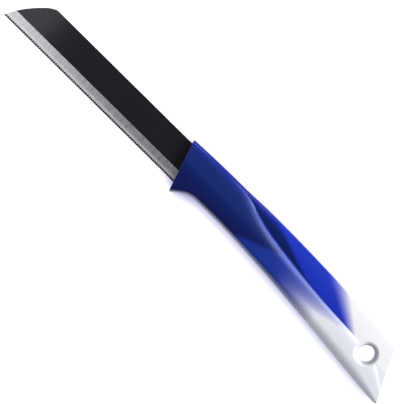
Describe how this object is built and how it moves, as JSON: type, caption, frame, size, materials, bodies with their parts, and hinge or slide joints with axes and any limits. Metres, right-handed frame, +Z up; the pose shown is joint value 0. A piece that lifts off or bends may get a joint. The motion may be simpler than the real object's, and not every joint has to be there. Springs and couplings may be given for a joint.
{
  "type": "tomato knife",
  "caption": "Small kitchen knife with a short finely toothed straight blade, black coated flats and a twisted moulded handle with a hanging hole.",
  "frame": {"origin": "middle of the knife's box, on the surface that it lies on", "axes": "+X from the tip of the blade to the butt of the handle, +Y from the cutting edge to the spine, +Z up from the side it lies on, so that the left side is on top"},
  "size_m": [0.195, 0.0232, 0.0106],
  "materials": {
    "steel": "ground, with fine lines square to the edge",
    "coating": "satin black film",
    "handle": "glossy, blue in front fading to white at the butt"
  },
  "bodies": {
    "root": {"blade": "steel", "blade_coating_left": "coating", "blade_coating_right": "coating", "handle": "handle"}
  },
  "joints": []
}
